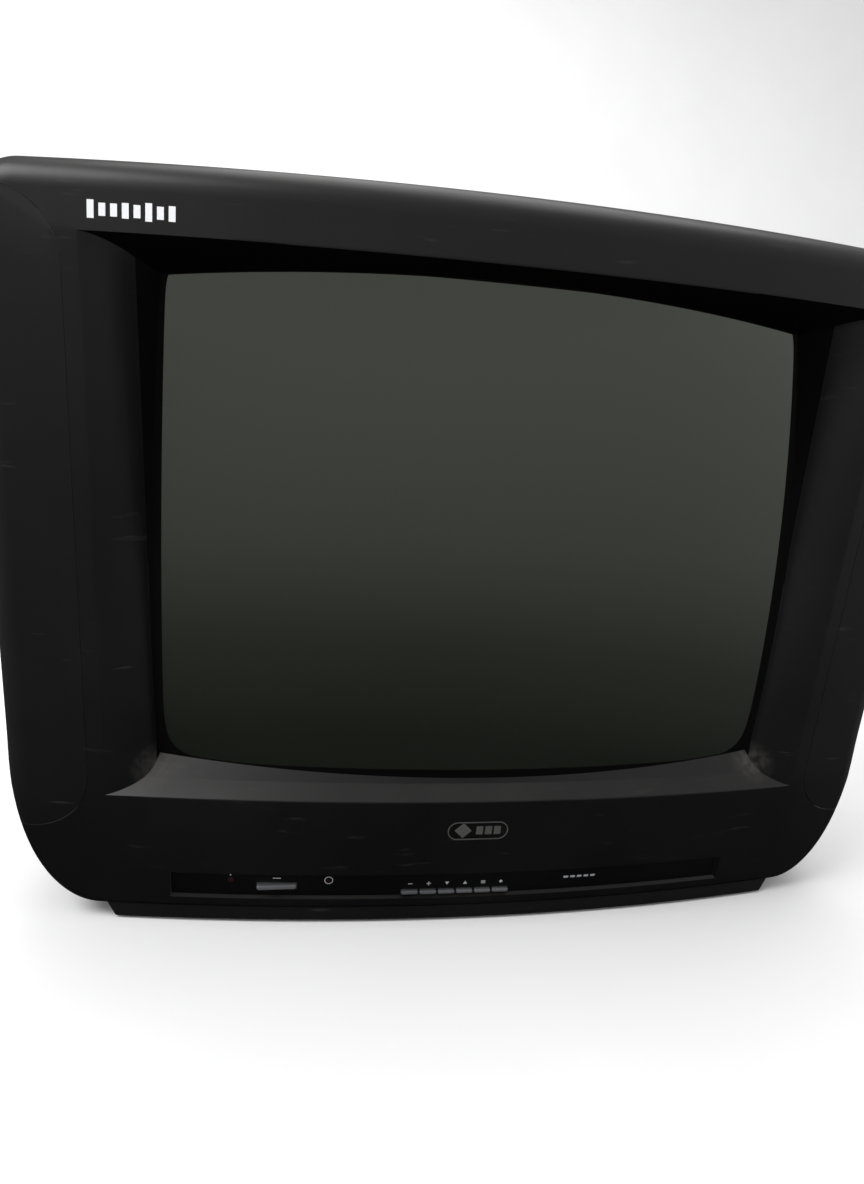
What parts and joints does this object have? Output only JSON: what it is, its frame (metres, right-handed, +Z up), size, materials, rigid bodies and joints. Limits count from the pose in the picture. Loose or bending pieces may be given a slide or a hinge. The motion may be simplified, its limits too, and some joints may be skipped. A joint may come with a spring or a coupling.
{
  "type": "television set",
  "caption": "Table-top colour television with a curved cathode ray tube, in a charcoal cabinet with side loudspeakers, sprung keys and sockets at the back.",
  "frame": {"origin": "middle of the cabinet's bounding box, on the surface it stands on", "axes": "+X to the right seen from the front, +Y from the screen to the back, +Z up"},
  "size_m": [0.598, 0.478, 0.455],
  "materials": {
    "cabinet_plastic": "fine satin texture",
    "cover_plastic": "fine matte texture",
    "rear_plastic": "coarse matte texture",
    "gloss_strip": "gloss",
    "key_plastic": "satin",
    "silver_trim": "satin",
    "foot_rubber": "matte",
    "screw_steel": "zinc plated",
    "black_plastic": "matte",
    "board_green": "solder mask",
    "board_brown": "paper laminate",
    "led_red": "clear tinted",
    "ir_plastic": "dark tinted",
    "screen_glass": "gloss, grey tinted",
    "funnel_glass": "graphite coated glass",
    "neck_glass": "clear glass",
    "band_steel": "zinc plated steel",
    "mask_steel": "blackened steel",
    "gun_steel": "bright",
    "coil_tape": "wrapped tape",
    "yoke_plastic": "satin",
    "copper_wire": "enamelled copper windings",
    "ferrite": "matte ferrite",
    "ring_ivory": "satin",
    "ring_blue": "satin",
    "ring_red": "satin",
    "socket_plastic": "satin",
    "cap_rubber": "soft",
    "lead_silicone": "satin",
    "braid_copper": "tinned copper braid",
    "chassis_plastic": "matte",
    "flyback_resin": "potting resin",
    "knob_plastic": "satin",
    "capacitor_sleeve": "shrink sleeve",
    "heatsink_aluminium": "extruded",
    "tuner_can": "tinned",
    "jack_nickel": "nickel plated",
    "speaker_steel": "zinc plated and black",
    "speaker_paper": "treated paper"
  },
  "bodies": {
    "cabinet": {"front_bezel": "cabinet_plastic", "rear_cover": "rear_plastic", "speaker_cover_left": "cover_plastic", "speaker_cover_right": "cover_plastic", "control_strip": "gloss_strip", "badge": "silver_trim", "rubber_feet": "foot_rubber", "rear_cover_screws": "screw_steel", "terminal_plate": "black_plastic", "mains_cord_gland": "black_plastic", "front_control_board": "board_green", "tact_switches": "black_plastic", "standby_led": "led_red", "ir_window": "ir_plastic", "ir_receiver": "black_plastic", "power_switch": "black_plastic", "crt_faceplate": "screen_glass", "crt_funnel": "funnel_glass", "crt_neck": "neck_glass", "implosion_band": "band_steel", "shadow_mask": "mask_steel", "electron_gun": "gun_steel", "degaussing_coil": "coil_tape", "tube_mounting_screws": "screw_steel", "yoke_housing": "yoke_plastic", "yoke_coils": "copper_wire", "yoke_core": "ferrite", "yoke_clamp": "screw_steel", "magnet_carrier": "black_plastic", "neck_board": "board_green", "crt_socket": "socket_plastic", "anode_cap": "cap_rubber", "anode_lead": "lead_silicone", "earth_braid": "braid_copper", "chassis_frame": "chassis_plastic", "main_board": "board_brown", "flyback_transformer": "flyback_resin", "power_supply_parts": "capacitor_sleeve", "heatsinks": "heatsink_aluminium", "tuner": "tuner_can", "av_jacks": "jack_nickel", "speaker_left": "speaker_steel", "speaker_right": "speaker_steel"},
    "power_button": {"power_button": "key_plastic"},
    "volume_down_button": {"volume_down_button": "key_plastic"},
    "volume_up_button": {"volume_up_button": "key_plastic"},
    "programme_down_button": {"programme_down_button": "key_plastic"},
    "programme_up_button": {"programme_up_button": "key_plastic"},
    "menu_button": {"menu_button": "key_plastic"},
    "av_button": {"av_button": "key_plastic"},
    "focus_knob": {"focus_knob": "knob_plastic"},
    "screen_knob": {"screen_knob": "knob_plastic"},
    "purity_ring_front": {"purity_ring_front": "ring_ivory"},
    "purity_ring_rear": {"purity_ring_rear": "ring_ivory"},
    "four_pole_ring_front": {"four_pole_ring_front": "ring_blue"},
    "four_pole_ring_rear": {"four_pole_ring_rear": "ring_blue"},
    "six_pole_ring_front": {"six_pole_ring_front": "ring_red"},
    "six_pole_ring_rear": {"six_pole_ring_rear": "ring_red"},
    "speaker_cone_left": {"speaker_cone_left": "speaker_paper"},
    "speaker_cone_right": {"speaker_cone_right": "speaker_paper"}
  },
  "joints": [
    {"name": "power_press", "type": "slide", "parent": "cabinet", "child": "power_button", "axis": [0, 1, 0], "range_m": [0, 0.004], "stiffness_N_per_m": 600},
    {"name": "volume_down_press", "type": "slide", "parent": "cabinet", "child": "volume_down_button", "axis": [0, 1, 0], "range_m": [0, 0.0008], "stiffness_N_per_m": 1200},
    {"name": "volume_up_press", "type": "slide", "parent": "cabinet", "child": "volume_up_button", "axis": [0, 1, 0], "range_m": [0, 0.0008], "stiffness_N_per_m": 1200},
    {"name": "programme_down_press", "type": "slide", "parent": "cabinet", "child": "programme_down_button", "axis": [0, 1, 0], "range_m": [0, 0.0008], "stiffness_N_per_m": 1200},
    {"name": "programme_up_press", "type": "slide", "parent": "cabinet", "child": "programme_up_button", "axis": [0, 1, 0], "range_m": [0, 0.0008], "stiffness_N_per_m": 1200},
    {"name": "menu_press", "type": "slide", "parent": "cabinet", "child": "menu_button", "axis": [0, 1, 0], "range_m": [0, 0.0008], "stiffness_N_per_m": 1200},
    {"name": "av_press", "type": "slide", "parent": "cabinet", "child": "av_button", "axis": [0, 1, 0], "range_m": [0, 0.0008], "stiffness_N_per_m": 1200},
    {"name": "focus_turn", "type": "hinge", "parent": "cabinet", "child": "focus_knob", "pos_m": [0.092, 0.122, 0.088], "axis": [0, 1, 0], "range_deg": [-135, 135]},
    {"name": "screen_turn", "type": "hinge", "parent": "cabinet", "child": "screen_knob", "pos_m": [0.092, 0.122, 0.062], "axis": [0, 1, 0], "range_deg": [-135, 135]},
    {"name": "purity_ring_front_turn", "type": "hinge", "parent": "cabinet", "child": "purity_ring_front", "pos_m": [0, 0.09, 0.2625], "axis": [0, 1, 0], "range_deg": [-40, 40]},
    {"name": "purity_ring_rear_turn", "type": "hinge", "parent": "cabinet", "child": "purity_ring_rear", "pos_m": [0, 0.09, 0.2625], "axis": [0, 1, 0], "range_deg": [-40, 40]},
    {"name": "four_pole_ring_front_turn", "type": "hinge", "parent": "cabinet", "child": "four_pole_ring_front", "pos_m": [0, 0.09, 0.2625], "axis": [0, 1, 0], "range_deg": [-40, 40]},
    {"name": "four_pole_ring_rear_turn", "type": "hinge", "parent": "cabinet", "child": "four_pole_ring_rear", "pos_m": [0, 0.09, 0.2625], "axis": [0, 1, 0], "range_deg": [-40, 40]},
    {"name": "six_pole_ring_front_turn", "type": "hinge", "parent": "cabinet", "child": "six_pole_ring_front", "pos_m": [0, 0.09, 0.2625], "axis": [0, 1, 0], "range_deg": [-40, 40]},
    {"name": "six_pole_ring_rear_turn", "type": "hinge", "parent": "cabinet", "child": "six_pole_ring_rear", "pos_m": [0, 0.09, 0.2625], "axis": [0, 1, 0], "range_deg": [-40, 40]},
    {"name": "cone_left_move", "type": "slide", "parent": "cabinet", "child": "speaker_cone_left", "axis": [-1, 0, 0], "range_m": [-0.001, 0.001], "stiffness_N_per_m": 1500},
    {"name": "cone_right_move", "type": "slide", "parent": "cabinet", "child": "speaker_cone_right", "axis": [1, 0, 0], "range_m": [-0.001, 0.001], "stiffness_N_per_m": 1500}
  ]
}
